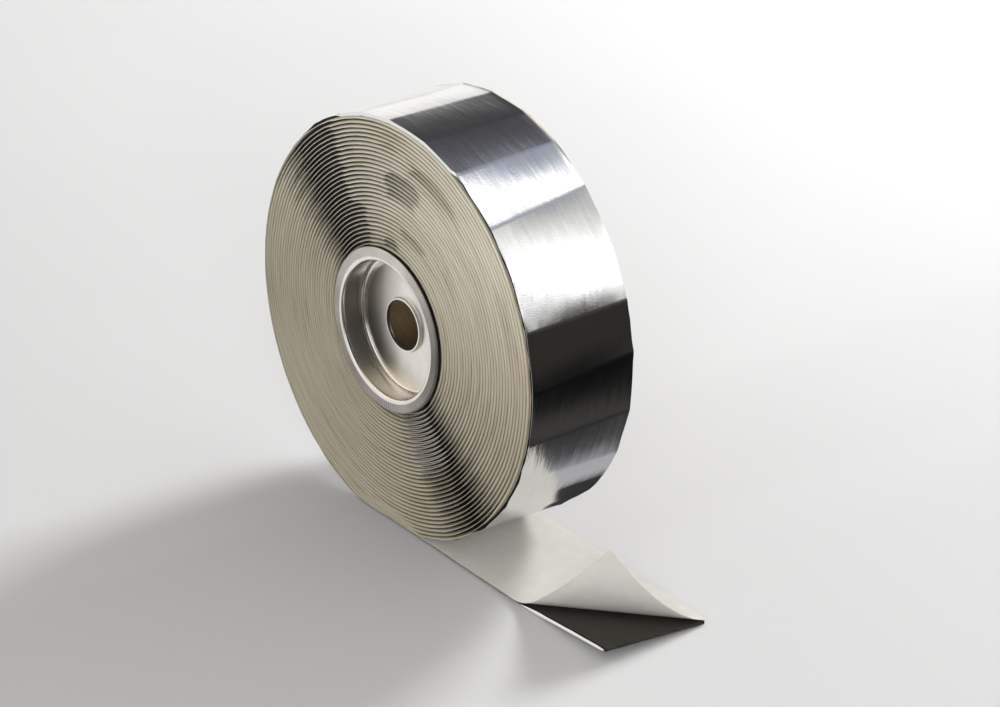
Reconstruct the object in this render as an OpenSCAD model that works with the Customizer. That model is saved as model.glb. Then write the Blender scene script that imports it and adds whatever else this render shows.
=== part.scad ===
// Roll of foil tape, part unrolled. The tape is three bonded layers: aluminium foil on the outside, soft black
// compound, and a wider paper liner on the inside. It is wound on a board tube with a pressed cap in each end.
// X runs along the loose tail, Y along the roll's axis away from the shown side, and Z is up.
// The origin is on the axis, midway between the two caps.

/* [Tape] */
// Width of the foil and the compound
tape_w = 64.5; // [40:0.5:90]
// How far the liner reaches past the compound at each edge
liner_overhang = 1.75; // [0.5:0.25:4]
// Thickness of the liner
liner_t = 0.25; // [0.15:0.05:0.4]
// Thickness of the compound
compound_t = 1.8; // [1.4:0.1:2.4]
// Thickness of the foil
foil_t = 0.15; // [0.1:0.05:0.3]

/* [Winding] */
// Number of turns on the roll
turns = 33; // [20:1:40]
// Sideways shift of the last turn against the first one
telescope = 2.6; // [0:0.1:5]
// Flats along the outside of each half of the last turn
flats = 13; // [10:1:18]
// How far the roll's own weight has flattened it at the floor
sag = 3.9; // [2:0.1:6]
// Thickness that a turn keeps where it is squeezed flat
squeezed_t = 1.4; // [1:0.1:1.8]

/* [Tail] */
// Length of the loose tail from below the axis to its cut end
tail_len = 178; // [140:1:260]
// Distance along the near edge over which the liner's corner is peeled
peel_len = 66; // [40:1:90]
// Length of the cut end, at its far corner, that the peel doesn't reach
peel_stop = 3; // [1:0.5:20]
// Angle that the peeled corner of the liner ends up at
peel_angle = 80; // [40:1:90]
// Length of the curved stretch where the liner bends up
peel_bend = 10; // [6:1:20]
// Angle at which the bared corner of the tape stands off the floor
corner_lift = 4; // [1:0.5:8]

/* [Core] */
// Inside diameter of the board tube
core_id = 76; // [60:1:90]
// Wall of the board tube
core_wall = 3; // [2:0.5:6]
// How far the tube reaches past the liner at each end
core_proud = 1.9; // [1:0.1:4]

/* [End caps] */
// Thickness of the caps' pressed sheet
sheet_t = 0.9; // [0.6:0.1:1.2]
// Gap between a cap's cup and the inside of the tube
cup_gap = 0.2; // [0.1:0.05:0.4]
// Reach of the flange past the outside of the tube
flange_reach = 3.5; // [2:0.5:6]
// Depth of the rim turned back at the flange's edge
rim_depth = 2.5; // [1.5:0.1:2.8]
// Radius of the lip between the flange and the cup
lip_r = 1.8; // [1.2:0.1:2.5]
// Depth from the flange's face to the cup's floor
cup_depth = 13.7; // [8:0.1:20]
// Radius between the cup's wall and its floor
floor_r = 1.8; // [1.2:0.1:3]
// Width of the flat gutter round the edge of the floor
gutter_w = 3; // [1:0.5:5]
// Height of the raised middle of the floor above the gutter
dish_h = 0.5; // [0.2:0.1:2]
// Diameter of the spindle hole
hole_d = 27; // [16:0.5:40]
// Height of the collar round the spindle hole
collar_h = 1.2; // [0.8:0.1:4]
// Radius at the root of the collar
collar_r = 0.6; // [0.4:0.1:2]
// Length of each locking dent in the cup's wall
dent_len = 12; // [6:0.5:20]
// Height of each locking dent
dent_h = 2.4; // [1:0.1:4]
// Depth of each locking dent
dent_depth = 0.5; // [0.2:0.1:0.6]
// Distance from the flange's face to the middle of each dent
dent_drop = 9; // [5:0.5:10]
// Number of locking dents in each cap
dents = 3; // [2:1:6]
// Turn of the first dent from straight up, clockwise on the shown side
dent_turn = 220; // [0:5:355]

/* [Hidden] */
$fn = 96;
// Overlap that joins shapes of one piece
join = 0.01;

tape_t = liner_t + compound_t + foil_t;
liner_w = tape_w + 2 * liner_overhang;
core_r = core_id / 2 + core_wall;
core_half = liner_w / 2 + core_proud;
// Height of the axis above the floor, and the depth of the flat that the last turn but one stands on
floor_depth = core_r + (turns + 1) * tape_t - sag;
flat_depth = floor_depth - tape_t;
// Anything wider than the whole object
reach = 4 * floor_depth;
// Slant of the peel line, which runs from the liner's near edge to its cut end, and inner radius of the bend there
peel_slant = atan2(liner_w - peel_stop, peel_len);
bend_r = peel_bend / peel_angle * 180 / PI;
// Distance past that line at which the liner's bend is as steep as the bared corner, which lifts off from there
lift_start = bend_r * tan(corner_lift);
// Chamfer inside the ends of the board tube, which clears the bend of each cap's lip
core_chamfer = lip_r - sheet_t;

foil_colour = "lightgray";
compound_colour = "#2b2927";
liner_colour = "#d6cfbf";
core_colour = "#9c8463";
cap_colour = "#b9b2b0";

// Depth below the axis of the winding's inner surface as it passes the bottom for the given time
function pass_depth(pass) =
    pass > turns ? floor_depth : min(core_r + pass * tape_t, flat_depth - (turns - pass) * squeezed_t);

// Local frame with X right, Y up and Z towards the viewer of the shown side, stood up on the floor
module upright() {
    rotate([90, 0, 0]) children();
}

// Disc, or for the last turn's outside a polygon, with the flat at its foot
module round_shape(radius, centre_y, foot_depth, flat_sided) {
    intersection() {
        translate([0, centre_y])
            if (flat_sided) {
                step = 180 / flats;
                polygon([for (i = [0 : 2 * flats - 1]) radius * [sin(i * step), cos(i * step)]]);
            } else {
                circle(r = radius);
            }
        translate([-reach / 2, -foot_depth]) square(reach);
    }
}

// Half a turn of one layer, on the right for an even half and on the left for an odd one. Both halves are arcs, and
// the left one's centre is half a tape lower, so the ends meet and the winding grows by one tape in a turn.
module half_turn(half, from_t, to_t, width) {
    left = half % 2;
    centre_y = -left * tape_t / 2;
    radius = core_r + half * tape_t / 2;
    passing = ceil(half / 2);
    inner_foot = pass_depth(passing);
    outer_foot = pass_depth(passing + 1);
    last = half >= 2 * turns - 2;
    shift = -telescope * half / (2 * turns - 1);
    translate([0, 0, shift - width / 2])
        linear_extrude(width)
            intersection() {
                difference() {
                    round_shape(radius + to_t, centre_y, foot(to_t, inner_foot, outer_foot), last && to_t > liner_t);
                    round_shape(radius + from_t, centre_y, foot(from_t, inner_foot, outer_foot),
                        last && from_t > liner_t);
                }
                translate([left ? -reach : 0, -reach / 2]) square(reach);
            }
}

// Depth of a layer's surface at the foot: the liner and the foil keep their thickness and the compound gives way
function foot(layer_t, inner_foot, outer_foot) =
    layer_t <= liner_t ? inner_foot + layer_t : outer_foot - (tape_t - layer_t);

// All turns of one layer, from its inner to its outer distance from the winding's inner surface
module winding(from_t, to_t, width) {
    for (half = [0 : 2 * turns - 1]) half_turn(half, from_t, to_t, width);
}

// Turns and moves to the peel line: X runs along it from the near edge, and Y away from the peeled corner
module along_peel_line() {
    translate([tail_len - peel_len, -liner_w / 2, 0]) rotate([0, 0, peel_slant]) children();
}

// Outline of a layer of the tail, or of its corner past the given distance from the peel line
module tail_plan(width, past, corner) {
    if (corner)
        intersection() {
            tail_outline(width);
            past_line(past);
        }
    else
        difference() {
            tail_outline(width);
            past_line(past);
        }
}

module tail_outline(width) {
    translate([-join, -width / 2]) square([tail_len + join, width]);
}

module past_line(past) {
    translate([tail_len - peel_len, -liner_w / 2])
        rotate(peel_slant) translate([-reach / 2, -reach - past]) square(reach);
}

// Places a flat layer of the tail at its height above the floor
module on_floor(height) {
    translate([0, telescope, height - floor_depth]) children();
}

// Foil or compound of the tail: flat on the floor, with the bared corner standing a little off it
module tail_layer(from_t, to_t) {
    above_floor = tape_t - to_t;
    thickness = to_t - from_t;
    on_floor(above_floor) linear_extrude(thickness) tail_plan(tape_w, lift_start, false);
    on_floor(0)
        translate([tail_len - peel_len, -liner_w / 2, 0])
            rotate([0, 0, peel_slant])
                translate([0, -lift_start, 0])
                    rotate([-corner_lift, 0, 0])
                        translate([0, lift_start, 0])
                            rotate([0, 0, -peel_slant])
                                translate([peel_len - tail_len, liner_w / 2, above_floor])
                                    linear_extrude(thickness) tail_plan(tape_w, lift_start, true);
}

module core_tube() {
    color(core_colour)
        upright()
            rotate_extrude()
                polygon([[core_r, -core_half], [core_r, core_half], [core_id / 2 + core_chamfer, core_half],
                    [core_id / 2, core_half - core_chamfer], [core_id / 2, core_chamfer - core_half],
                    [core_id / 2 + core_chamfer, -core_half]]);
}

module foil_facing() {
    color(foil_colour) {
        upright() winding(tape_t - foil_t, tape_t, tape_w);
        tail_layer(tape_t - foil_t, tape_t);
    }
}

module butyl_compound() {
    color(compound_colour) {
        upright() winding(liner_t, tape_t - foil_t, tape_w);
        tail_layer(liner_t, tape_t - foil_t);
    }
}

// Section across the peel line, with the distance out from it along X: a short run on the flat, a bend and a straight
module peel_section(straight, lap) {
    steps = 12;
    function bent(r, angle) = [r * sin(angle), bend_r - r * cos(angle)];
    function side(r) = concat(
        [[-lap, bend_r - r]],
        [for (i = [0 : steps]) bent(r, i * peel_angle / steps)],
        [bent(r, peel_angle) + straight * [cos(peel_angle), sin(peel_angle)]]);
    inside = side(bend_r - liner_t);
    polygon(concat(side(bend_r), [for (i = [len(inside) - 1 : -1 : 0]) inside[i]]));
}

// Peeled corner: a sheet bent along the peel line and cut to the corner's two edges, which run straight from the ends
// of that line to the raised tip
module peeled_corner() {
    peel_line = norm([liner_w - peel_stop, peel_len]);
    corner_out = peel_len * sin(peel_slant);
    corner_along = peel_len * cos(peel_slant);
    straight = corner_out - peel_bend;
    tip_out = bend_r * sin(peel_angle) + straight * cos(peel_angle);
    tip_up = bend_r * (1 - cos(peel_angle)) + straight * sin(peel_angle);
    lap = 4 * liner_t;
    along_peel_line()
        intersection() {
            rotate([90, 0, -90])
                translate([0, 0, -2 * peel_line])
                    linear_extrude(3 * peel_line) peel_section(straight + lap, lap);
            rotate([-atan2(tip_up, tip_out), 0, 0])
                translate([0, 0, -corner_out])
                    linear_extrude(2 * corner_out)
                        polygon([[0, lap / 2], [0, 0], [corner_along, -norm([tip_out, tip_up])],
                            [peel_line, 0], [peel_line, lap / 2]]);
        }
}

module release_liner() {
    color(liner_colour) {
        upright() winding(0, liner_t, liner_w);
        on_floor(tape_t - liner_t) {
            linear_extrude(liner_t) tail_plan(liner_w, 0, false);
            peeled_corner();
        }
    }
}

// Quarter of a bent sheet's section round the given centre, in the quadrant that the two signs give
module bend(centre, inner_r, right, up) {
    translate(centre)
        intersection() {
            difference() {
                circle(r = inner_r + sheet_t);
                circle(r = inner_r);
            }
            translate([right ? 0 : -reach, up ? 0 : -reach]) square(reach);
        }
}

// Section of one cap, with the distance from the axis along X and the height towards the viewer along Y
module cap_section() {
    face = core_half + sheet_t;
    cup_r = core_id / 2 - cup_gap;
    flange_r = core_r + flange_reach;
    floor_y = face - cup_depth;
    lip_in = lip_r - sheet_t;
    rim_in = 0.6;
    rim_r = rim_in + sheet_t;
    floor_in = floor_r;
    floor_out = floor_in + sheet_t;
    floor_edge = cup_r - floor_out;
    dish_r = floor_edge - gutter_w;
    hole_r = hole_d / 2;
    collar_out = collar_r + sheet_t;
    dish_y = floor_y + dish_h;
    // Rim, flange and lip
    translate([flange_r - sheet_t, face - rim_depth]) square([sheet_t, rim_depth - rim_r]);
    bend([flange_r - rim_r, face - rim_r], rim_in, true, true);
    translate([cup_r - sheet_t + lip_r, face - sheet_t])
        square([flange_r - rim_r - cup_r + sheet_t - lip_r, sheet_t]);
    bend([cup_r + lip_in, face - lip_r], lip_in, false, true);
    // Wall of the cup and the round corner below it
    translate([cup_r - sheet_t, floor_y - sheet_t + floor_out])
        square([sheet_t, cup_depth - lip_r + sheet_t - floor_out]);
    bend([floor_edge, floor_y - sheet_t + floor_out], floor_in, true, false);
    // Gutter, step and raised middle
    translate([dish_r - sheet_t, floor_y - sheet_t]) square([gutter_w + sheet_t, sheet_t]);
    translate([dish_r - sheet_t, floor_y - sheet_t]) square([sheet_t, dish_h + sheet_t]);
    translate([hole_r + collar_out, dish_y - sheet_t]) square([dish_r - hole_r - collar_out, sheet_t]);
    // Collar round the hole
    bend([hole_r + collar_out, dish_y - sheet_t + collar_out], collar_r, false, false);
    translate([hole_r, dish_y - sheet_t + collar_out]) square([sheet_t, collar_h]);
}

// Pressed cap at the +Z end of the local frame, with dents that lock its cup in the tube
module end_cap() {
    face = core_half + sheet_t;
    wall_r = core_id / 2 - cup_gap - sheet_t;
    dent_angle = dent_len / wall_r * 180 / PI;
    difference() {
        rotate_extrude() cap_section();
        for (i = [0 : dents - 1])
            rotate([0, 0, 90 - dent_turn - dent_angle / 2 + i * 360 / dents])
                rotate_extrude(angle = dent_angle)
                    translate([wall_r - dent_depth, face - dent_drop - dent_h / 2]) square([2 * dent_depth, dent_h]);
    }
}

module front_end_cap() {
    color(cap_colour) upright() end_cap();
}

module rear_end_cap() {
    color(cap_colour) upright() mirror([0, 0, 1]) end_cap();
}

core_tube();
front_end_cap();
rear_end_cap();
foil_facing();
butyl_compound();
release_liner();
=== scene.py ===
import math

import bpy
import numpy as np
from mathutils import Matrix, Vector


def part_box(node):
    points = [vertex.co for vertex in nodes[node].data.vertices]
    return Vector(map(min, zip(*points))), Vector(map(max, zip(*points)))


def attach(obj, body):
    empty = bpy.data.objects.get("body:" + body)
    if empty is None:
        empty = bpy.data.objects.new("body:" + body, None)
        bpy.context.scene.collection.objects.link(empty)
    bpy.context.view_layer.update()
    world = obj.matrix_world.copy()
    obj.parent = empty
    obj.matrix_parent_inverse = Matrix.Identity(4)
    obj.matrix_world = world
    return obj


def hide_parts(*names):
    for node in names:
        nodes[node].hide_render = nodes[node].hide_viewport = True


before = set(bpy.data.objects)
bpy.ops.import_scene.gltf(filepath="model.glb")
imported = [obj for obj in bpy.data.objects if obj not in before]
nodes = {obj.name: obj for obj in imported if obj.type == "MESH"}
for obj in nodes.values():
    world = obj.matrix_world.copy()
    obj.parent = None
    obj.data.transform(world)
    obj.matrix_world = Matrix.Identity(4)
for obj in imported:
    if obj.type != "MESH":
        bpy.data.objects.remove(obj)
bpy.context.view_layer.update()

# The view: a long lens looks down on the roll from in front of its loose end, so the wound side, the foil
# and the peeled corner all show. The camera rolls slightly, as the photograph does.
camera_place = (1.684435, -1.320410, 1.060036)
camera_heading = math.radians(51.081)
camera_dip = math.radians(26.825)
camera_roll = math.radians(2.187)
camera_data = bpy.data.cameras.new("camera")
camera_data.sensor_width = 36
camera_data.lens = 166.53
camera_data.clip_end = 50
camera = bpy.data.objects.new("camera", camera_data)
camera.matrix_world = (
    Matrix.Translation(camera_place)
    @ Matrix.Rotation(camera_heading, 4, "Z")
    @ Matrix.Rotation(math.pi / 2 - camera_dip, 4, "X")
    @ Matrix.Rotation(camera_roll, 4, "Z")
)
bpy.context.scene.collection.objects.link(camera)
bpy.context.scene.camera = camera
bpy.context.scene.view_settings.view_transform = "Standard"


# The studio: a pale matt table under soft light, long soft boxes behind the roll, and black and pale glowing
# cards round it, painted reflections of the floor. The foil mirrors them as bands, and the cups of the caps
# mirror the dark room in front with its one soft box. Only metal mirrors them, and the view sees white.
def linear(code):
    parts = [int(code[i:i + 2], 16) / 255 for i in (1, 3, 5)]
    return [c / 12.92 if c <= 0.04045 else ((c + 0.055) / 1.055) ** 2.4 for c in parts] + [1.0]


def add_node(tree, kind, inputs=None, stops=None, **settings):
    made = tree.nodes.new(kind)
    for name, value in settings.items():
        setattr(made, name, value)
    if stops:
        ramp = made.color_ramp
        while len(ramp.elements) > 1:
            ramp.elements.remove(ramp.elements[-1])
        ramp.elements[0].position = stops[0][0]
        ramp.elements[0].color = linear(stops[0][1])
        for place, code in stops[1:]:
            ramp.elements.new(place).color = linear(code)
    for name, value in (inputs or {}).items():
        if isinstance(value, bpy.types.NodeSocket):
            tree.links.new(value, made.inputs[name])
        else:
            made.inputs[name].default_value = value
    return made


def new_material(name):
    material = bpy.data.materials.new(name)
    material.use_nodes = True
    material.node_tree.nodes.clear()
    return material, material.node_tree


def clear_selection():
    for item in bpy.context.selected_objects:
        item.select_set(False)


world = bpy.data.worlds.new("studio")
bpy.context.scene.world = world
world.use_nodes = True
tree = world.node_tree
tree.nodes.clear()
# Tones behind the roll and in front of it, by the angle round its axis from the tail's direction, in degrees
back_tones = [
    (-180, "#cdccc9"), (-172, "#c9c9c6"), (-165, "#737373"), (-12, "#101010"), (0, "#1e1d1c"),
    (7, "#2b2a28"), (14, "#33322f"), (17, "#3a3936"), (20, "#504f4a"), (22, "#b5b4b0"), (24, "#fcfcfc"),
    (47, "#fbfaf8"), (55, "#b9b9b5"), (61, "#9a9a97"), (65, "#7c7e82"), (70, "#7c7e82"), (75, "#a6aab3"),
    (80, "#fafafa"), (85, "#fdfdfd"), (89, "#9799a1"), (93, "#7b818b"), (106, "#6f727a"), (114, "#434347"),
    (122, "#363539"), (138, "#303032"), (147, "#3d3d3e"), (154, "#676765"), (162, "#b0afad"),
    (171, "#cdccc9"), (180, "#cfcfcb"),
]
room_tones = [
    (-180, "#c3c0bb"), (-100, "#736f66"), (-80, "#292723"), (50, "#2a2722"), (70, "#49443d"),
    (84, "#6f685a"), (98, "#a69f8e"), (120, "#cbc4b2"), (150, "#cfc9bb"), (180, "#c3c0bb"),
]
box_strength = 1.9
way = add_node(tree, "ShaderNodeTexCoord")
parts = add_node(tree, "ShaderNodeSeparateXYZ", {0: way.outputs["Generated"]})
turn = add_node(tree, "ShaderNodeMath", {0: parts.outputs[2], 1: parts.outputs[0]}, operation="ARCTAN2")
place = add_node(tree, "ShaderNodeMapRange", {0: turn.outputs[0], 1: -math.pi, 2: math.pi})
behind = add_node(tree, "ShaderNodeValToRGB", {0: place.outputs[0]},
                  stops=[((angle + 180) / 360, code) for angle, code in back_tones])
ahead = add_node(tree, "ShaderNodeValToRGB", {0: place.outputs[0]},
                 stops=[((angle + 180) / 360, code) for angle, code in room_tones])
# The one soft box of the dark room hangs straight in front of the caps, and fades 28 to 37 degrees off
off_box = add_node(tree, "ShaderNodeMapRange", {0: parts.outputs[1], 1: -0.88, 2: -0.8})
front = add_node(tree, "ShaderNodeMix", {0: off_box.outputs[0], 6: linear("#d5d2cd"), 7: ahead.outputs[0]},
                 data_type="RGBA")
beyond = add_node(tree, "ShaderNodeMapRange", {0: parts.outputs[1], 1: 0.08, 2: 0.36})
bands = add_node(tree, "ShaderNodeMix", {0: beyond.outputs[0], 6: front.outputs[2], 7: behind.outputs[0]},
                 data_type="RGBA")
boxes = add_node(tree, "ShaderNodeBackground", {"Color": bands.outputs[2], "Strength": box_strength})
# What isn't metal is lit softly from all round, and most from overhead
overhead = add_node(tree, "ShaderNodeMapRange", {0: parts.outputs[2], 1: 0.0, 2: 1.0, 3: 0.2, 4: 0.68})
soft = add_node(tree, "ShaderNodeBackground", {"Color": linear("#fbf9f5"), "Strength": overhead.outputs[0]})
white = add_node(tree, "ShaderNodeBackground", {"Color": linear("#f3f3f4"), "Strength": 1.0})
ray = add_node(tree, "ShaderNodeLightPath")
lit = add_node(tree, "ShaderNodeMixShader",
               {0: ray.outputs["Is Glossy Ray"], 1: soft.outputs[0], 2: boxes.outputs[0]})
seen = add_node(tree, "ShaderNodeMixShader",
                {0: ray.outputs["Is Camera Ray"], 1: lit.outputs[0], 2: white.outputs[0]})
add_node(tree, "ShaderNodeOutputWorld", {"Surface": seen.outputs[0]})

floor_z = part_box("foil_facing")[0].z
clear_selection()
bpy.ops.mesh.primitive_circle_add(vertices=96, radius=9, fill_type="NGON", location=(0, 0, floor_z))
table = bpy.context.object
table.name = "table"
table_paint, tree = new_material("pale_matt_table")
grain = add_node(tree, "ShaderNodeTexNoise", {"Scale": 40.0, "Detail": 4.0})
tone = add_node(tree, "ShaderNodeValToRGB", {0: grain.outputs["Fac"]},
                stops=[(0.3, "#d3d3d4"), (0.7, "#d7d7d8")])
matt = add_node(tree, "ShaderNodeBsdfPrincipled", {"Base Color": tone.outputs[0], "Roughness": 0.8})
matt.inputs["Specular IOR Level"].default_value = 0.1
add_node(tree, "ShaderNodeOutputMaterial", {"Surface": matt.outputs[0]})
table.data.materials.append(table_paint)

# Glow of the cards, the painted reflections of the floor, by the distance in metres to the right of the
# roll's axis. All of them but the pale card meet along the roll's shown side, and the long ones reach past
# all that the foil mirrors.
dark_reflection_tones = [
    (0.0, "#2e2e2e"), (0.085, "#333333"), (0.094, "#b4b4b6"), (0.112, "#a8a8ac"), (0.126, "#8c8c90"),
    (0.136, "#404040"), (0.17, "#303030"), (0.19, "#2c2c2b"), (0.21, "#454341"), (0.235, "#383735"),
    (0.26, "#1b1b1a"), (0.33, "#0e0e0e"), (0.6, "#181817"), (1.0, "#2f2e2c"),
]
pale_reflection_tones = [(0.0, "#f2f0ec")]
front_reflection_tones = [(0.0, "#6b6458"), (1.0, "#4a453d")]
shown_side = -0.0305
reach = 8.5
for name, left, right, front, back, height, tones in (
    ("dark_reflection_card", -0.02, reach, shown_side, reach, 0.0004, dark_reflection_tones),
    ("pale_reflection_card", -2.6, -0.03, -2.6, 2.6, 0.0004, pale_reflection_tones),
    ("front_reflection_card", -0.03, reach, -reach, shown_side, 0.0004, front_reflection_tones),
    ("pale_reflection_strip", 0.07, 0.2, -0.09, shown_side, 0.0005, pale_reflection_tones),
):
    clear_selection()
    bpy.ops.mesh.primitive_plane_add(size=1, location=(0, 0, floor_z + height))
    card = bpy.context.object
    card.name = name
    for corner in card.data.vertices:
        corner.co.x = right if corner.co.x > 0 else left
        corner.co.y = back if corner.co.y > 0 else front
    card_glow, tree = new_material(name + "_paint")
    where = add_node(tree, "ShaderNodeTexCoord")
    parts = add_node(tree, "ShaderNodeSeparateXYZ", {0: where.outputs["Object"]})
    sheen = add_node(tree, "ShaderNodeValToRGB", {0: parts.outputs[0]}, stops=tones)
    glow = add_node(tree, "ShaderNodeEmission", {"Color": sheen.outputs[0], "Strength": 1.1})
    add_node(tree, "ShaderNodeOutputMaterial", {"Surface": glow.outputs[0]})
    card.data.materials.append(card_glow)
    # Only metal sees the cards, whose glow paints what it mirrors of the floor
    card.visible_camera = False
    card.visible_diffuse = False
    card.visible_shadow = False
    card.visible_transmission = False

for name, spot, size, power in (
    ("back_box", (-0.5, 2.0, 1.0), 0.6, 60),
    ("right_fill", (1.3, -1.0, 0.55), 0.7, 12),
):
    lamp_data = bpy.data.lights.new(name, "AREA")
    lamp_data.shape = "SQUARE"
    lamp_data.size = size
    lamp_data.energy = power
    lamp = bpy.data.objects.new(name, lamp_data)
    away = np.array(spot) / np.linalg.norm(spot)
    side = np.cross((0, 0, 1), away)
    side /= np.linalg.norm(side)
    up = np.cross(away, side)
    lamp.matrix_world = Matrix([(side[i], up[i], away[i], spot[i]) for i in range(3)] + [(0, 0, 0, 1)])
    lamp.visible_glossy = False
    bpy.context.scene.collection.objects.link(lamp)


# The core: a tube of brown board, wound on a slant from strips of paper and cut off square. Its ends are
# hidden by the caps, and its inside shows only through the spindle holes.
strip_width = 0.070
board, tree = new_material("spiral_wound_board")
where = add_node(tree, "ShaderNodeTexCoord")
parts = add_node(tree, "ShaderNodeSeparateXYZ", {0: where.outputs["Object"]})
turn = add_node(tree, "ShaderNodeMath", {0: parts.outputs[2], 1: parts.outputs[0]}, operation="ARCTAN2")
# The butted seam of the outer strip climbs by the strip's width in each turn
climb = add_node(tree, "ShaderNodeMath", {0: parts.outputs[1], 1: 1 / strip_width}, operation="MULTIPLY")
lap = add_node(tree, "ShaderNodeMath", {0: turn.outputs[0], 1: 1 / math.tau, 2: climb.outputs[0]},
               operation="MULTIPLY_ADD")
seam = add_node(tree, "ShaderNodeMath", {0: lap.outputs[0]}, operation="FRACT")
line = add_node(tree, "ShaderNodeValToRGB", {0: seam.outputs[0]},
                stops=[(0.0, "#6b5a45"), (0.012, "#9d876a"), (0.988, "#9d876a"), (1.0, "#6b5a45")])
fibre = add_node(tree, "ShaderNodeTexNoise",
                 {"Vector": where.outputs["Object"], "Scale": 900.0, "Detail": 5.0})
tint = add_node(tree, "ShaderNodeValToRGB", {0: fibre.outputs["Fac"]},
                stops=[(0.3, "#c9b798"), (0.7, "#ffffff")])
paint = add_node(tree, "ShaderNodeMix", {0: 0.8, 6: line.outputs[0], 7: tint.outputs[0]},
                 data_type="RGBA", blend_type="MULTIPLY")
nap = add_node(tree, "ShaderNodeBump", {"Strength": 0.4, "Distance": 0.0001, "Height": fibre.outputs["Fac"]})
body = add_node(tree, "ShaderNodeBsdfPrincipled",
                {"Base Color": paint.outputs[2], "Roughness": 0.85, "Normal": nap.outputs[0]})
add_node(tree, "ShaderNodeOutputMaterial", {"Surface": body.outputs[0]})
nodes["core_tube"].material_slots[0].material = board

# The end caps: cups pressed from thin galvanised steel, with a flat flange, a spindle hole and three dents
# that lock them in the tube. Galvanising leaves the sheet a soft, slightly warm grey. The press rubs the lip
# bright, and the flange is nicked all round where it was crimped. Radii are in metres.
floor_r = 0.0325
flange_r = 0.0389
nicked_r = 0.042
rim_r = 0.0442
nick_spacing = 0.0017
steel, tree = new_material("galvanised_pressed_steel")
where = add_node(tree, "ShaderNodeTexCoord")
parts = add_node(tree, "ShaderNodeSeparateXYZ", {0: where.outputs["Object"]})
turn = add_node(tree, "ShaderNodeMath", {0: parts.outputs[2], 1: parts.outputs[0]}, operation="ARCTAN2")
flat_place = add_node(tree, "ShaderNodeVectorMath", {0: where.outputs["Object"], 1: (1, 0, 1)},
                      operation="MULTIPLY")
radius = add_node(tree, "ShaderNodeVectorMath", {0: flat_place.outputs[0]}, operation="LENGTH")
# The crimper's nicks run round the flange, and are deepest at the lower right
nick = add_node(tree, "ShaderNodeMath", {0: turn.outputs[0], 1: nicked_r / nick_spacing * math.tau},
                operation="MULTIPLY")
comb = add_node(tree, "ShaderNodeMath", {0: nick.outputs[0]}, operation="SINE")
flange = add_node(tree, "ShaderNodeMapRange",
                  {0: radius.outputs["Value"], 1: flange_r, 2: flange_r + 0.0006})
around = add_node(tree, "ShaderNodeMapRange", {0: turn.outputs[0], 1: -math.pi, 2: math.pi})
worn = add_node(tree, "ShaderNodeValToRGB", {0: around.outputs[0]},
                stops=[(0.0, "#555555"), (0.16, "#606060"), (0.24, "#ffffff"), (0.42, "#d8d8d8"),
                       (0.5, "#a0a0a0"), (0.58, "#484848"), (1.0, "#555555")])
depth = add_node(tree, "ShaderNodeMath", {0: flange.outputs[0], 1: worn.outputs[0]}, operation="MULTIPLY")
nicks = add_node(tree, "ShaderNodeMath", {0: comb.outputs[0], 1: depth.outputs[0]}, operation="MULTIPLY")
# The zinc's crystals are about 1.4 mm across, and cloudy patches of them about 11 mm
zinc = add_node(tree, "ShaderNodeTexNoise",
                {"Vector": where.outputs["Object"], "Scale": 700.0, "Detail": 3.0})
grit = add_node(tree, "ShaderNodeBump",
                {"Strength": 0.1, "Distance": 0.00005, "Height": zinc.outputs["Fac"]})
ribs = add_node(tree, "ShaderNodeBump",
                {"Strength": 0.6, "Distance": 0.00015, "Height": nicks.outputs[0], "Normal": grit.outputs[0]})
bloom = add_node(tree, "ShaderNodeTexNoise",
                 {"Vector": where.outputs["Object"], "Scale": 90.0, "Detail": 4.0})
bright = add_node(tree, "ShaderNodeValToRGB", {0: bloom.outputs["Fac"]},
                  stops=[(0.3, "#d8d5d3"), (0.55, "#e2dfdc"), (0.75, "#e9e7e5")])
dulled = add_node(tree, "ShaderNodeValToRGB", {0: bloom.outputs["Fac"]},
                  stops=[(0.3, "#cac4c1"), (0.55, "#d9d4d1"), (0.75, "#e0dcd9")])
# Painted light and shade on the flange: lightest at the top, darkest at the right and at the lower left
flange_light_and_shade = add_node(tree, "ShaderNodeValToRGB", {0: around.outputs[0]},
                 stops=[(0.0, "#c6c3c0"), (0.08, "#b3b0ac"), (0.14, "#9a9791"), (0.22, "#c8c4c3"),
                        (0.32, "#dcd8d7"), (0.42, "#a8a4a1"), (0.5, "#86827e"), (0.6, "#c0bebc"),
                        (0.7, "#ffffff"), (1.0, "#c6c3c0")])
lit_and_shaded_flange = add_node(tree, "ShaderNodeMix", {0: 1.0, 6: dulled.outputs[0], 7: flange_light_and_shade.outputs[0]},
                   data_type="RGBA", blend_type="MULTIPLY")
# A painted shadow of the cup's wall greys the left half of the cup's floor
floor_place = add_node(tree, "ShaderNodeMapRange",
                       {0: radius.outputs["Value"], 1: floor_r, 2: floor_r + 0.001, 3: 1.0, 4: 0.0})
left_half = add_node(tree, "ShaderNodeMapRange", {0: parts.outputs[0], 1: -0.021, 2: -0.003, 3: 1.0, 4: 0.0})
wall_shadow_on_floor = add_node(tree, "ShaderNodeMath", {0: floor_place.outputs[0], 1: left_half.outputs[0]},
                operation="MULTIPLY")
inside = add_node(tree, "ShaderNodeMix", {0: wall_shadow_on_floor.outputs[0], 6: bright.outputs[0], 7: linear("#a19e98")},
                  data_type="RGBA")
shade = add_node(tree, "ShaderNodeMix", {0: flange.outputs[0], 6: inside.outputs[2], 7: lit_and_shaded_flange.outputs[2]},
                 data_type="RGBA")
groove = add_node(tree, "ShaderNodeValToRGB", {0: nicks.outputs[0]},
                  stops=[(0.1, "#ffffff"), (0.9, "#b9b4b4")])
nicked = add_node(tree, "ShaderNodeMix", {0: 1.0, 6: shade.outputs[2], 7: groove.outputs[0]},
                  data_type="RGBA", blend_type="MULTIPLY")
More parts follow.
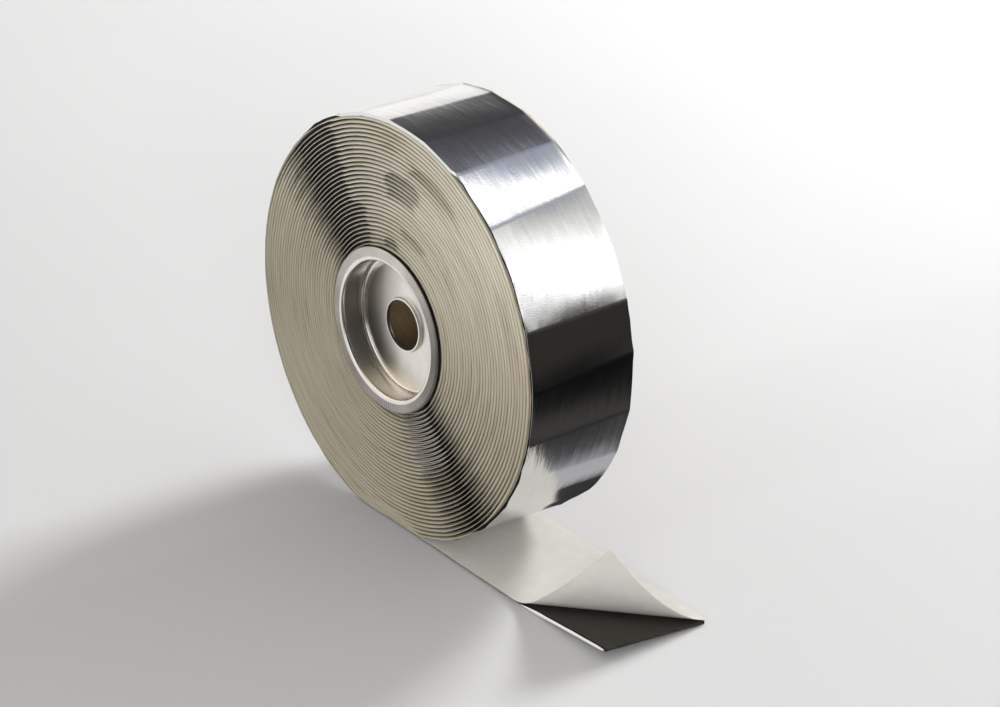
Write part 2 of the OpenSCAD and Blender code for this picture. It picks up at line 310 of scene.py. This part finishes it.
# The turned-back rim is painted near black: painted shade for the dark gap between the flange and the winding
shaded_rim = add_node(tree, "ShaderNodeMapRange", {0: radius.outputs["Value"], 1: rim_r, 2: rim_r + 0.0002})
paint = add_node(tree, "ShaderNodeMix", {0: shaded_rim.outputs[0], 6: nicked.outputs[2], 7: linear("#141210")},
                 data_type="RGBA")
# The dull zinc of the flange mirrors less than the bare wall of the cup, and the rim, painted near black for
# shade, isn't metal at all
bare = add_node(tree, "ShaderNodeMapRange", {0: flange.outputs[0], 3: 0.97, 4: 0.6})
off_shaded_rim = add_node(tree, "ShaderNodeMapRange", {0: shaded_rim.outputs[0], 3: 1.0, 4: 0.0})
metal = add_node(tree, "ShaderNodeMath", {0: bare.outputs[0], 1: off_shaded_rim.outputs[0]}, operation="MULTIPLY")
polish = add_node(tree, "ShaderNodeMapRange", {0: flange.outputs[0], 3: 0.2, 4: 0.44})
pitting = add_node(tree, "ShaderNodeMapRange", {0: bloom.outputs["Fac"], 3: -0.05, 4: 0.05})
gloss = add_node(tree, "ShaderNodeMath", {0: polish.outputs[0], 1: pitting.outputs[0]}, operation="ADD")
# The floor of the cup wasn't rubbed by the press, so it is duller than the wall
unrubbed = add_node(tree, "ShaderNodeMath", {0: floor_place.outputs[0], 1: 0.12}, operation="MULTIPLY")
gloss = add_node(tree, "ShaderNodeMath", {0: gloss.outputs[0], 1: unrubbed.outputs[0]}, operation="ADD")
body = add_node(tree, "ShaderNodeBsdfPrincipled", {
    "Base Color": paint.outputs[2], "Metallic": metal.outputs[0], "Roughness": gloss.outputs[0],
    "Normal": ribs.outputs[0]})
add_node(tree, "ShaderNodeOutputMaterial", {"Surface": body.outputs[0]})
for cap in ("front_end_cap", "rear_end_cap"):
    nodes[cap].material_slots[0].material = steel

# The foil facing: soft rolled aluminium on the outside of the tape. It was wound on by machine in 33 turns,
# and its last turn has set in flats with a crease between each two. Sizes from here on are in millimetres,
# and every layer of the tape takes its path round the roll from them.
turns = 33
core_r = 41.0
tape_t = 2.2
squeezed_t = 1.4
tape_w = 64.5
foil_t = 0.15
liner_w = 68.0
liner_t = 0.25
floor_depth = -1000 * floor_z
tail_end = 1000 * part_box("foil_facing")[1].x
# The winding drifts to the shown side, and the near corner of the liner is peeled up along a slanted line
sideways = 2.6
liner_edge = sideways - liner_w / 2
corner_start = tail_end - 72.9
peel_slant = math.radians(44.6)
corner_lift = math.radians(6.3)
random = np.random.default_rng(7)

# Angles of the creases at the near and the far edge, from straight down on the right, round over the top
near_creases = np.array([
    -90, -76, -60.5, -45.5, -33, -22.9, -10.4, 4.3, 20.5, 34.5, 48.5, 65.9, 80, 94.7, 106, 116.9, 130, 143,
    154.5, 168, 180, 191, 204, 216, 228.5, 240, 250, 260, 270])
far_creases = np.array([
    -90, -76, -58, -42.7, -34.2, -24.1, -9.4, 7.6, 21.2, 36, 53, 67.5, 80, 94.1, 106.3, 118, 131, 144,
    155, 169, 180, 192, 204, 217, 228, 240, 250, 260, 270])
flatness = random.uniform(0.62, 0.95, len(near_creases) - 1)


def pass_depth(passing):
    """Depth of a turn's inside at the foot, below the axis; the roll's weight squeezes the foot"""
    squeezed = floor_depth - tape_t - (turns - passing) * squeezed_t
    return np.where(passing > turns, floor_depth, np.minimum(core_r + passing * tape_t, squeezed))


def wind(half, angle, level, flats=1.0):
    """Place on the winding at a level above its inside: two half circles a turn, flattened at the floor"""
    radius = core_r + half * tape_t / 2
    inside = pass_depth(np.ceil(half / 2))
    outside = pass_depth(np.ceil(half / 2) + 1)
    foot = np.where(level <= liner_t, inside + level, outside - (tape_t - level))
    x = (radius + level) * flats * np.cos(angle)
    z = (radius + level) * flats * np.sin(angle) - half % 2 * tape_t / 2
    return x, np.maximum(z, -foot)


def wound_length(half, angle):
    """Length of tape from its start on the core to the given place"""
    turned = angle + math.pi / 2 - half % 2 * math.pi
    return math.pi * (half * core_r + half * (half - 1) * tape_t / 4) + (core_r + half * tape_t / 2) * turned


roll_length = wound_length(2 * turns - 1, 1.5 * math.pi)


def ripple(along, across, length, seed):
    """Smooth random waves of about the given length, between -1 and 1"""
    waves = np.random.default_rng(seed)
    total = 0
    for wave in range(7):
        stretch = length * waves.uniform(0.6, 1.9)
        slant = waves.uniform(-0.5, 0.5) / length
        total = total + np.sin(math.tau * (along / stretch + across * slant) + waves.uniform(0, math.tau))
    return total / 4


def sheet(name, places, along, across):
    """Closed sheet from rows of places round its section, in millimetres. It starts as a grid, whose last
    column is drawn over its first, and its ends are filled. Its UV map is the length and the width of tape,
    in metres."""
    rows, columns = places.shape[:2]
    clear_selection()
    bpy.ops.mesh.primitive_grid_add(x_subdivisions=rows - 1, y_subdivisions=columns, size=1, calc_uvs=False)
    made = bpy.context.object
    made.name = name
    mesh = made.data
    start = np.zeros(len(mesh.vertices) * 3)
    mesh.vertices.foreach_get("co", start)
    start = start.reshape(-1, 3)
    row = np.rint((start[:, 0] + 0.5) * (rows - 1)).astype(int)
    column = np.rint((start[:, 1] + 0.5) * columns).astype(int) % columns
    mesh.vertices.foreach_set("co", (places[row, column] / 1000).ravel())
    corner = np.zeros(len(mesh.loops), int)
    mesh.loops.foreach_get("vertex_index", corner)
    flat = np.stack([along[row, column], across[row, column]], 1) / 1000
    mesh.uv_layers.new(name="tape").data.foreach_set("uv", flat[corner].ravel())
    mesh.update()
    bpy.ops.object.mode_set(mode="EDIT")
    bpy.ops.mesh.select_all(action="SELECT")
    bpy.ops.mesh.remove_doubles(threshold=1e-7)
    bpy.ops.mesh.fill_holes(sides=0)
    bpy.ops.mesh.select_all(action="SELECT")
    bpy.ops.mesh.normals_make_consistent(inside=False)
    bpy.ops.object.mode_set(mode="OBJECT")
    bpy.ops.object.shade_smooth_by_angle(angle=math.radians(40))
    return made


def join(name, first, second):
    clear_selection()
    first.select_set(True)
    second.select_set(True)
    bpy.context.view_layer.objects.active = first
    bpy.ops.object.join()
    first.name = name
    return first


def section(across, bulge, top, bottom):
    """Stations round a layer: over its outside from the near edge, and back along its inside"""
    width = across[-1]
    widths = np.concatenate([across, [width + bulge], across[::-1], [-bulge]])
    levels = np.concatenate([np.full(len(across), top), [(top + bottom) / 2],
                             np.full(len(across), bottom), [(top + bottom) / 2]])
    return widths, levels


def edge_stations(width, edge, step):
    middle = np.linspace(edge[-1], width - edge[-1], max(2, round((width - 2 * edge[-1]) / step) + 1))
    return np.concatenate([edge[:-1], middle, width - np.array(edge[:-1])[::-1]])


def inner_rows():
    """Half turns and angles of all turns but the last, with most rows near the top, where edges are worn"""
    right = np.concatenate([np.arange(-90, 60, 3.75), np.arange(60, 90, 1.5)])
    left = np.concatenate([np.arange(90, 126, 1.5), np.arange(126, 270, 3.6)])
    degrees = np.tile(np.concatenate([right, left]), turns - 1)
    half = np.tile(np.repeat([0, 1], [len(right), len(left)]), turns - 1)
    half = half + 2 * np.repeat(np.arange(turns - 1), len(right) + len(left))
    return np.append(half, 2 * turns - 3)[:, None], np.radians(np.append(degrees, 270))[:, None]


def inner_turns(name, widths, levels, total_width):
    half, angle = inner_rows()
    x, z = wind(half, angle, levels[None, :])
    along = wound_length(half, angle) + 0 * levels
    y = widths[None, :] - total_width / 2 + sideways * along / roll_length
    return sheet(name, np.stack([x, y, z], 2), along, widths + 0 * along)


# Rows of the last turn follow the creases, and crowd beside each one to keep it crisp
steps = np.array([0, 0.05, 0.17, 0.38, 0.62, 0.83, 0.95])
facet = np.repeat(np.arange(len(near_creases) - 1), len(steps))
share = np.tile(steps, len(near_creases) - 1)


def last_turn(widths, levels, total_width):
    """Angle, half turn and draw-in of the flats for each row and station of the last turn"""
    level_width = np.clip(widths / total_width, 0, 1)[None, :]
    start, stop = (np.radians(near_creases[side][:, None] * (1 - level_width)
                              + far_creases[side][:, None] * level_width) for side in (facet, facet + 1))
    angle = start + (stop - start) * share[:, None]
    chord = np.cos((stop - start) / 2) / np.cos(angle - (start + stop) / 2)
    # The soft compound behind it lets the foil bow out again between the edges
    stiff = 0.5 + 0.5 * (2 * level_width - 1) ** 2
    draw = 1 - flatness[facet][:, None] * stiff * (1 - chord)
    half = np.where(angle < math.pi / 2, 2 * turns - 2, 2 * turns - 1)
    return angle, half, draw


def tail_rows(step):
    return np.linspace(0, tail_end, round(tail_end / step) + 1)[:, None]


def from_peel_line(x, y):
    """Distance past the slanted peel line, and along it from the liner's near edge"""
    past = (x - corner_start) * math.sin(peel_slant) - (y - liner_edge) * math.cos(peel_slant)
    beside = (x - corner_start) * math.cos(peel_slant) + (y - liner_edge) * math.sin(peel_slant)
    return past, beside


def lift_corner(x, y, z):
    """Bends the bared corner gently off the table, from just past the peel line"""
    past = np.maximum(from_peel_line(x, y)[0] - 0.5, 0)
    return z + past * math.sin(corner_lift) * np.minimum(past / 12, 1)


def outer_sheet(name, roll, tail, along, tail_along, widths):
    """The last turn of a layer and its tail as one sheet"""
    lengths = np.concatenate([along, roll_length + tail_along + 0 * widths])
    return sheet(name, np.concatenate([np.stack(roll, 2), np.stack(tail, 2)]), lengths, widths + 0 * lengths)


# Stations across the foil, from its edge inwards
foil_edge = [0, 0.5, 1.3, 3]
clear_of_table = 2 - floor_depth
foil_across = edge_stations(tape_w, foil_edge, 3.4)
widths, levels = section(foil_across, 0.0, tape_t, tape_t - foil_t)
angle, half, draw = last_turn(widths, levels, tape_w)
x, z = wind(half, angle, levels[None, :], draw)
along = wound_length(half, angle)
across = widths + 0 * along
y = across - tape_w / 2 + sideways
# Shallow dents where the foil has been handled, and edges that wander
dent = 0.10 * ripple(along, across, 31, 3) + 0.05 * ripple(along, across * 2, 13, 5)
edge_curl = np.exp(-across / 1.6) * (0.28 * ripple(along, 0, 17, 11) + 0.1)
edge_curl = edge_curl + np.exp(-(tape_w - across) / 1.6) * (0.3 * ripple(along, 0, 19, 12) + 0.1)
# Slitting has flared the far edge out a little. Near the top the near edge is folded down over the compound
over_top = np.abs(np.degrees(angle) - 92)
flare = 0.45 * np.exp(-(tape_w - across) / 0.7) * np.clip((34 - over_top) / 6, 0, 1)
push = np.where(z > clear_of_table, dent - 0.12 + np.maximum(edge_curl, 0) + flare, 0)
fold_out = np.interp(widths, foil_edge, [0.6, 1.05, 1.7, 0])
fold_over = np.interp(widths, foil_edge, [1.95, 1.05, 0.15, 0])
folded = np.clip((28 - over_top) / 4, 0, 1)
push = push - fold_over * folded
x = x + push * np.cos(angle)
z = z + push * np.sin(angle)
y = y + np.exp(-across / 2) * 0.16 * ripple(along, 0, 9, 13) * (1 - folded) - fold_out * folded
tail_x = tail_rows(2.5) + 0 * widths
tail_y = widths - tape_w / 2 + sideways + 0 * tail_x
tail_z = -floor_depth + (tape_t - levels) + 0 * tail_x
tail_z = lift_corner(tail_x, tail_y, tail_z)
# The foil is turned up over the side of the bared corner too, and a little at the cut end
bared = np.clip((tail_x - corner_start) / 12, 0, 1) * np.clip((tail_end - tail_x) / 3, 0.15, 1)
end_burr = np.exp(-(tail_end - tail_x) / 1.2) * np.clip((30 - widths) / 20, 0, 1) * 0.6
tail_y = tail_y - fold_out * np.minimum(2 * bared, 1)
tail_z = tail_z + fold_over * bared * (0.9 + 0.1 * ripple(tail_x, 0, 21, 15)) + 0.8 * end_burr
outer = outer_sheet("foil_outer", [x, y, z], [tail_x, tail_y, tail_z], along, tail_x, widths)
widths, levels = section(np.array([0, tape_w / 2, tape_w]), 0.0, tape_t, tape_t - foil_t)
foil = join("aluminium_foil", outer, inner_turns("foil_inner", widths, levels, tape_w))

# Rolled foil is a bright metal with a satin bloom: a fine grain that glitters, faint lines from the rolls
# along it, and shallow waves, also along it, that feather the edges of what it mirrors
aluminium, tree = new_material("rolled_aluminium_foil")
where = add_node(tree, "ShaderNodeTexCoord")
lines = add_node(tree, "ShaderNodeMapping", {"Vector": where.outputs["UV"], "Scale": (12, 500, 1)})
roll_lines = add_node(tree, "ShaderNodeTexNoise", {"Vector": lines.outputs[0], "Scale": 1.0, "Detail": 4.0})
# The grain of the bloom is finer than this; it is drawn about 0.7 mm coarse so that it shows
grain = add_node(tree, "ShaderNodeTexNoise", {"Vector": where.outputs["UV"], "Scale": 1500.0, "Detail": 3.0})
strokes = add_node(tree, "ShaderNodeMapping", {"Vector": where.outputs["UV"], "Scale": (46, 230, 1)})
waves = add_node(tree, "ShaderNodeTexNoise", {"Vector": strokes.outputs[0], "Scale": 1.0, "Detail": 2.0})
bump = add_node(tree, "ShaderNodeBump",
                {"Strength": 0.2, "Distance": 0.00002, "Height": roll_lines.outputs["Fac"]})
bump = add_node(tree, "ShaderNodeBump",
                {"Strength": 1.0, "Distance": 0.00003, "Height": grain.outputs["Fac"],
                 "Normal": bump.outputs[0]})
bump = add_node(tree, "ShaderNodeBump",
                {"Strength": 0.5, "Distance": 0.0003, "Height": waves.outputs["Fac"],
                 "Normal": bump.outputs[0]})
tone = add_node(tree, "ShaderNodeValToRGB", {0: roll_lines.outputs["Fac"]},
                stops=[(0.3, "#e2e2e4"), (0.7, "#e8e8e9")])
gloss = add_node(tree, "ShaderNodeMapRange", {0: grain.outputs["Fac"], 1: 0.3, 2: 0.7, 3: 0.11, 4: 0.17})
body = add_node(tree, "ShaderNodeBsdfPrincipled", {
    "Base Color": tone.outputs[0], "Metallic": 1.0, "Roughness": gloss.outputs[0], "Normal": bump.outputs[0]})
add_node(tree, "ShaderNodeOutputMaterial", {"Surface": body.outputs[0]})
foil.data.materials.append(aluminium)
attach(foil, "root")
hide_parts("foil_facing")

# The compound: soft black butyl rubber, spread hot on the foil and never cured. It keeps its stick, so it is
# dull with faint flow marks, and it bulges slightly at its edges.
compound_across = edge_stations(tape_w, [0, 1.2, 3], 4.2)
widths, levels = section(compound_across, 0.3, tape_t - foil_t, liner_t)
angle, half, draw = last_turn(widths, levels, tape_w)
x, z = wind(half, angle, levels[None, :], np.where(levels > liner_t, draw, 1.0))
along = wound_length(half, angle)
across = widths + 0 * along
y = across - tape_w / 2 + sideways
ragged = ripple(along, 0, 7, 21) * 0.18 + ripple(along, 0, 2.5, 22) * 0.1 - 0.25
y = y - np.exp(-np.maximum(across, 0)) * ragged
# It follows the dents of the foil
push = np.where((levels > 1) & (z > clear_of_table), 0.10 * ripple(along, across, 31, 3) - 0.14, 0)
x = x + push * np.cos(angle)
z = z + push * np.sin(angle)
tail_x = tail_rows(2.5) + 0 * widths
tail_y = widths - tape_w / 2 + sideways + 0 * tail_x
tail_z = -floor_depth + (tape_t - levels) + 0 * tail_x
pulled = np.where((levels < 1) & (tail_x > corner_start), 0.06 * ripple(tail_x, widths, 9, 31) - 0.07, 0)
tail_z = lift_corner(tail_x, tail_y, tail_z) + pulled
outer = outer_sheet("compound_outer", [x, y, z], [tail_x, tail_y, tail_z], along, tail_x, widths)
widths, levels = section(np.array([0.3, tape_w / 2, tape_w - 0.3]), -0.1, tape_t - foil_t, liner_t)
compound = join("black_compound", outer, inner_turns("compound_inner", widths, levels, tape_w))

butyl, tree = new_material("uncured_butyl")
where = add_node(tree, "ShaderNodeTexCoord")
flow = add_node(tree, "ShaderNodeMapping", {"Vector": where.outputs["UV"], "Scale": (50, 220, 1)})
marks = add_node(tree, "ShaderNodeTexNoise", {"Vector": flow.outputs[0], "Scale": 1.0, "Detail": 5.0})
grain = add_node(tree, "ShaderNodeTexNoise",
                 {"Vector": where.outputs["Object"], "Scale": 1300.0, "Detail": 3.0})
tone = add_node(tree, "ShaderNodeValToRGB", {0: marks.outputs["Fac"]},
                stops=[(0.3, "#35332f"), (0.6, "#3f3c37"), (0.8, "#494640")])
# The slit edge, recessed between the liner's leaves, is painted deep black: painted shade
half_w = tape_w / 2000
parts = add_node(tree, "ShaderNodeSeparateXYZ", {0: where.outputs["UV"]})
middle = add_node(tree, "ShaderNodeMath", {0: parts.outputs[1], 1: half_w}, operation="SUBTRACT")
from_middle = add_node(tree, "ShaderNodeMath", {0: middle.outputs[0]}, operation="ABSOLUTE")
slit_edge_shade = add_node(tree, "ShaderNodeMapRange",
                {0: from_middle.outputs[0], 1: half_w - 0.0006, 2: half_w - 0.0004})
paint = add_node(tree, "ShaderNodeMix", {0: slit_edge_shade.outputs[0], 6: tone.outputs[0], 7: linear("#0b0a09")},
                 data_type="RGBA")
bump = add_node(tree, "ShaderNodeBump", {"Strength": 0.5, "Distance": 0.0002, "Height": marks.outputs["Fac"]})
bump = add_node(tree, "ShaderNodeBump",
                {"Strength": 0.3, "Distance": 0.00006, "Height": grain.outputs["Fac"],
                 "Normal": bump.outputs[0]})
gloss = add_node(tree, "ShaderNodeMapRange", {0: marks.outputs["Fac"], 3: 0.5, 4: 0.75})
body = add_node(tree, "ShaderNodeBsdfPrincipled", {
    "Base Color": paint.outputs[2], "Roughness": gloss.outputs[0], "Normal": bump.outputs[0]})
body.inputs["Specular IOR Level"].default_value = 0.25
add_node(tree, "ShaderNodeOutputMaterial", {"Surface": body.outputs[0]})
compound.data.materials.append(butyl)
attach(compound, "root")
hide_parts("butyl_compound")

# The release liner: siliconed kraft paper, slit wider than the compound. On the roll its edges stand up as
# thin leaves, which droop. Handling has pressed them flat near the top, in bundles with sharp ends, and at
# the tape's end one corner is peeled back to show the compound.
overhang = (liner_w - tape_w) / 2
leaf_edge = [0, 0.5, 1.1, overhang]
most_lean = 1.8
# Bundles: start and stop angle, first and last turn, and the lean of the leaf's tip, outwards if positive
lean_patches = [
    (76, 95, 15.5, 22, -0.3), (62, 84.5, 22, 23.6, -0.9), (58, 83, 23.6, 26.6, -0.2), (84, 96, 3, 5.5, -0.2),
    (64, 82, 7.5, 10, -0.5), (30, 50, 10.5, 12.5, -0.4), (22, 46, 20, 23, -0.7), (14, 34, 27, 29.5, -0.6),
    (90, 97, 26.5, 28.5, -0.9),
]


def leaf_lean(half, angle, along, rear):
    """How far the tip of the liner's edge leans, outwards from the axis"""
    turn_count = half / 2 + (angle - np.radians(-90 + 180 * (half % 2))) / math.tau
    degrees = np.degrees(angle) * (1 - 2 * rear) + 180 * rear
    outer = turn_count / turns
    wander = ripple(turn_count * 10, 0, 31, 47 + rear)

    def turned(place, reach):
        return np.clip((degrees - place) / reach + 0.5, 0, 1)

    # Pressed outwards at the lower left, hanging free at the foot, pressed inwards on the right, hanging free
    # again past the top, where the bundles end sharply, and pressed outwards once more on the left
    lean = 1.4 - 0.65 * turned(-77 + 20 * outer + 3 * wander, 8)
    lean = lean - 2.1 * turned(-34 - 7 * outer + 3 * wander, 26)
    lean = lean + 0.6 * turned(111 + 10 * np.clip((turn_count - 12) / 2, 0, 1) + 1.5 * wander, 1.8)
    lean = lean + 1.65 * turned(152 - 6 * outer + 4 * wander, 18) + 0.4 * turned(250, 30)
    lean = lean + 0.12 * ripple(along, 0, 43, 41 + rear) + 0.08 * ripple(along, 0, 13, 43 + rear)
    for start, stop, first, last, amount in lean_patches:
        middle = (degrees - (start + stop) / 2 + 180) % 360 - 180
        inside = np.clip(((stop - start) / 2 + 2.5 * wander - np.abs(middle)) / 1.6 + 0.5, 0, 1)
        begun = np.clip((turn_count - first) / 0.7 + 0.5, 0, 1)
        ended = np.clip((last - turn_count) / 0.7 + 0.5, 0, 1)
        lean = lean + (amount - lean) * inside * begun * ended
    # The outermost leaf has nothing over it: it hugs the roll at the back, and stands up straight on the left
    outermost = turn_count > turns - 1
    lean = lean + outermost * ((-1.3 - lean) if rear else (0.3 - lean) * turned(130, 12))
    # The leaves of the first turns are held by the caps
    return np.clip(lean * np.clip((turn_count + 2) / 6, 0, 1), -most_lean, most_lean)


def lean_leaves(x, y, z, half, angle, along, widths):
    """Leans both edges of the liner and makes them wander"""
    for rear in (0, 1):
        from_edge = liner_w - widths if rear else widths
        tip = np.clip((overhang - from_edge) / overhang, 0, 1) + 0 * along
        lean = leaf_lean(half, angle, along, rear) * np.where(z > 1.5 - floor_depth, 1, 0)
        x = x + tip ** 1.6 * lean * np.cos(angle)
        z = z + tip ** 1.6 * lean * np.sin(angle)
        uneven = 0.12 * ripple(along, 0, 23, 51 + rear) + 0.05 * ripple(along, 0, 5, 53 + rear)
        y = y + tip * (lean ** 2 / (2 * most_lean) - uneven - 0.2) * (-1 if rear else 1)
    return x, y, np.maximum(z, -floor_depth + 0.3)


half, angle = inner_rows()
widths, levels = section(np.append(leaf_edge, liner_w - np.array(leaf_edge)[::-1]), 0.0, liner_t, 0.0)
x, z = wind(half, angle, levels[None, :])
along = wound_length(half, angle) + 0 * levels
across = widths + 0 * along
y = across - liner_w / 2 + sideways * along / roll_length
x, y, z = lean_leaves(x, y, z, half, angle, along, across)
inner = sheet("liner_inner", np.stack([x, y, z], 2), along, across)

liner_across = edge_stations(liner_w, leaf_edge + [4], 2.6)
widths, levels = section(liner_across, 0.0, liner_t, 0.0)
degrees = np.arange(-90, 270, 1.5)[:, None]
half = np.where(degrees < 90, 2 * turns - 2, 2 * turns - 1)
angle = np.radians(degrees)
x, z = wind(half, angle, levels[None, :])
along = wound_length(half, angle) + 0 * levels
across = widths + 0 * along
y = across - liner_w / 2 + sideways
x, y, z = lean_leaves(x, y, z, half, angle, along, across)
# The tail lies flat up to the slanted peel line. Past it the paper bends up in a wide curve, least at the cut
# end, and the corner stands up.
bend_r = 13.0
fold_length = 92.0
near_bend = 70.3
far_bend = 40.0
tail_x = tail_rows(1.6) + 0 * widths
tail_y = widths - liner_w / 2 + sideways + 0 * tail_x
past, beside = from_peel_line(tail_x, tail_y)
most = np.radians(near_bend + (far_bend - near_bend) * np.clip(beside / fold_length, 0, 1))
bent = np.clip(past / bend_r, 0, most)
rest = np.maximum(past - bend_r * most, 0)
height = levels + 0 * tail_x
# The stiff paper curls back further towards its tip, and a little to the left
curl = most + math.radians(23.9) * rest / 36
beside = beside - 1.1 * (np.maximum(past, 0) / 46) ** 2
out = (bend_r - height) * np.sin(bent) + rest * np.cos(curl)
rise = bend_r - (bend_r - height) * np.cos(bent) + rest * np.sin(curl)
peeled_x = corner_start + beside * math.cos(peel_slant) + out * math.sin(peel_slant)
peeled_y = liner_edge + beside * math.sin(peel_slant) - out * math.cos(peel_slant)
peeled = past > 0
lie = 0.10 * (1 + ripple(tail_x, widths, 60, 61)) * np.clip((tail_x - 30) / 30, 0, 1)
tail_z = -floor_depth + tape_t - liner_t + np.where(peeled, rise, height) + lie
tail = [np.where(peeled, peeled_x, tail_x), np.where(peeled, peeled_y, tail_y), tail_z]
outer = outer_sheet("liner_outer", [x, y, z], tail, along, tail_x, widths)
liner = join("release_paper", outer, inner)

# Siliconed kraft: cream, smooth and slightly glossy, with a cloudy fibre pattern. Its cut edges have yellowed
kraft, tree = new_material("siliconed_kraft_paper")
where = add_node(tree, "ShaderNodeTexCoord")
parts = add_node(tree, "ShaderNodeSeparateXYZ", {0: where.outputs["UV"]})
cloud = add_node(tree, "ShaderNodeTexNoise", {"Vector": where.outputs["UV"], "Scale": 140.0, "Detail": 6.0})
fibre = add_node(tree, "ShaderNodeTexNoise", {"Vector": where.outputs["UV"], "Scale": 1600.0, "Detail": 3.0})
faces = add_node(tree, "ShaderNodeValToRGB", {0: cloud.outputs["Fac"]},
                 stops=[(0.3, "#d6d4cc"), (0.5, "#d9d7d0"), (0.7, "#dddbd4")])
streaks = add_node(tree, "ShaderNodeMapping", {"Vector": where.outputs["UV"], "Scale": (24, 300, 1)})
soil = add_node(tree, "ShaderNodeTexNoise", {"Vector": streaks.outputs[0], "Scale": 1.0, "Detail": 3.0})
edges = add_node(tree, "ShaderNodeValToRGB", {0: soil.outputs["Fac"]},
                 stops=[(0.28, "#cdc4aa"), (0.45, "#e1dac7"), (0.62, "#eae4d5"), (0.8, "#f0ede2")])
# In metres from the middle, the compound's edge is at 0.03225 and the paper's at 0.034
middle = add_node(tree, "ShaderNodeMath", {0: parts.outputs[1], 1: liner_w / 2000}, operation="SUBTRACT")
from_middle = add_node(tree, "ShaderNodeMath", {0: middle.outputs[0]}, operation="ABSOLUTE")
leaf = add_node(tree, "ShaderNodeMapRange", {0: from_middle.outputs[0], 1: 0.0318, 2: 0.0328})
tail_start = roll_length / 1000
on_roll = add_node(tree, "ShaderNodeMapRange",
                   {0: parts.outputs[0], 1: tail_start + 0.01, 2: tail_start - 0.05})
yellowed_and_shaded_leaves = add_node(tree, "ShaderNodeMath", {0: leaf.outputs[0], 1: on_roll.outputs[0]}, operation="MULTIPLY")
# Painted shade: the paper darkens towards the root of each leaf, where the leaves overlap
leaf_height = add_node(tree, "ShaderNodeMapRange", {0: from_middle.outputs[0], 1: 0.0326, 2: 0.0338})
leaf_root_shade = add_node(tree, "ShaderNodeValToRGB", {0: leaf_height.outputs[0]},
                 stops=[(0.0, "#7a7468"), (0.45, "#c9c5bc"), (0.8, "#ffffff")])
shaded_edges = add_node(tree, "ShaderNodeMix", {0: 1.0, 6: edges.outputs[0], 7: leaf_root_shade.outputs[0]},
                  data_type="RGBA", blend_type="MULTIPLY")
# Painted light and shade: the paper on the roll is lightest at the top and darker towards the bottom
standing = add_node(tree, "ShaderNodeSeparateXYZ", {0: where.outputs["Object"]})
rising = add_node(tree, "ShaderNodeMapRange", {0: standing.outputs[2], 1: -0.11, 2: 0.11})
height_light_and_shade = add_node(tree, "ShaderNodeValToRGB", {0: rising.outputs[0]},
                stops=[(0.0, "#dad7cf"), (0.4, "#cecbc3"), (0.62, "#dedbd4"), (0.82, "#ffffff")])
shaded_edges = add_node(tree, "ShaderNodeMix", {0: 1.0, 6: shaded_edges.outputs[2], 7: height_light_and_shade.outputs[0]},
                  data_type="RGBA", blend_type="MULTIPLY")
tone = add_node(tree, "ShaderNodeMix", {0: yellowed_and_shaded_leaves.outputs[0], 6: faces.outputs[0], 7: shaded_edges.outputs[2]},
                data_type="RGBA")
bump = add_node(tree, "ShaderNodeBump",
                {"Strength": 0.25, "Distance": 0.00008, "Height": fibre.outputs["Fac"]})
bump = add_node(tree, "ShaderNodeBump",
                {"Strength": 0.3, "Distance": 0.0002, "Height": cloud.outputs["Fac"],
                 "Normal": bump.outputs[0]})
gloss = add_node(tree, "ShaderNodeMapRange", {0: cloud.outputs["Fac"], 3: 0.38, 4: 0.55})
body = add_node(tree, "ShaderNodeBsdfPrincipled", {
    "Base Color": tone.outputs[2], "Roughness": gloss.outputs[0], "Normal": bump.outputs[0]})
body.inputs["Specular IOR Level"].default_value = 0.35
add_node(tree, "ShaderNodeOutputMaterial", {"Surface": body.outputs[0]})
liner.data.materials.append(kraft)
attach(liner, "root")
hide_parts("release_liner")
